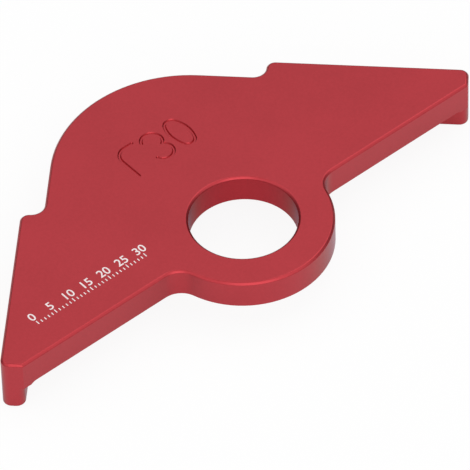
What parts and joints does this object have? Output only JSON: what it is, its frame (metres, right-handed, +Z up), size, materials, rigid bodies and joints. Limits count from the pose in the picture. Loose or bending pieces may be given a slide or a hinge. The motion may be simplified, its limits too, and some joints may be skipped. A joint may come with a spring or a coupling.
{
  "type": "corner radius router jig",
  "caption": "Flat metal guide plate with a rounded corner, short fences that seat on a board's edges, and a lobe with a finger hole.",
  "frame": {"origin": "the point where the board's square corner sits: on the plate's underside and on the inner face of both fences", "axes": "+X and +Y along the board's edges, each along one fence and away from the rounded corner; +Z up through the plate, out of the board"},
  "size_m": [0.095, 0.095, 0.0133],
  "materials": {
    "anodised_aluminium": "red anodised, fine satin"
  },
  "bodies": {
    "root": {"jig_body": "anodised_aluminium"}
  },
  "joints": []
}
